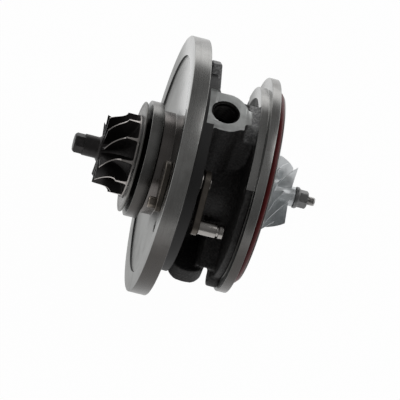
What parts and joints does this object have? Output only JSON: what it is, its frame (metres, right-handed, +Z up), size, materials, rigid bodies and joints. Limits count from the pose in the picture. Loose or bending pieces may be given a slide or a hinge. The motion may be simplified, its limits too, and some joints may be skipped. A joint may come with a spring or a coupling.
{
  "type": "turbo cartridge",
  "caption": "Core of a small turbocharger: bladed turbine and compressor wheels on one shaft in a cast bearing housing with clamp flange, oil ports and a nozzle lever.",
  "frame": {"origin": "on the shaft axis, at the front face of the turbine-side flange", "axes": "+X along the shaft towards the compressor wheel, +Z up through the oil inlet"},
  "size_m": [0.1082, 0.114, 0.114],
  "materials": {
    "cast_housing": "black sand-cast skin, with bright turned flanges and a milled oil inlet face",
    "shield_steel": "pressed sheet, satin",
    "turbine_alloy": "dark fine casting, brighter on ground blade tips",
    "compressor_aluminium": "milled, with fine tool marks",
    "ground_steel": "ground",
    "ring_steel": "spring steel, dull",
    "bearing_bronze": "bored and turned",
    "plate_steel": "turned",
    "black_rubber": "matt",
    "red_rubber": "moulded, slightly shiny",
    "nut_steel": "phosphated",
    "lever_steel": "heat-tinted, brownish",
    "pin_steel": "turned, bright"
  },
  "bodies": {
    "housing": {"bearing_housing": "cast_housing", "heat_shield": "shield_steel", "turbine_seal_ring": "ring_steel", "bearing_circlips": "ring_steel", "thrust_bearing": "bearing_bronze", "oil_deflector": "plate_steel", "compressor_seal_rings": "ring_steel", "seal_plate": "plate_steel", "seal_plate_o_ring": "black_rubber", "seal_plate_circlip": "ring_steel", "flange_o_ring": "red_rubber", "lever_bush": "pin_steel"},
    "rotor": {"turbine_wheel": "turbine_alloy", "rotor_shaft": "ground_steel", "thrust_washer": "ground_steel", "thrust_collar": "ground_steel", "oil_flinger": "ground_steel", "compressor_wheel": "compressor_aluminium", "lock_nut": "nut_steel"},
    "turbine_bush": {"turbine_bearing": "bearing_bronze"},
    "compressor_bush": {"compressor_bearing": "bearing_bronze"},
    "lever": {"lever_shaft": "pin_steel", "outer_lever": "lever_steel", "lever_pin": "pin_steel", "inner_crank": "lever_steel", "crank_pin": "pin_steel"}
  },
  "joints": [
    {"name": "rotor_spin", "type": "hinge", "parent": "housing", "child": "rotor", "pos_m": [0, 0, 0], "axis": [-1, 0, 0], "continuous": true},
    {"name": "turbine_bush_spin", "type": "hinge", "parent": "housing", "child": "turbine_bush", "pos_m": [0, 0, 0], "axis": [-1, 0, 0], "continuous": true},
    {"name": "compressor_bush_spin", "type": "hinge", "parent": "housing", "child": "compressor_bush", "pos_m": [0, 0, 0], "axis": [-1, 0, 0], "continuous": true},
    {"name": "lever_swing", "type": "hinge", "parent": "housing", "child": "lever", "pos_m": [0, -0.02337, 0.02097], "axis": [1, 0, 0], "range_deg": [-20, 25]}
  ]
}
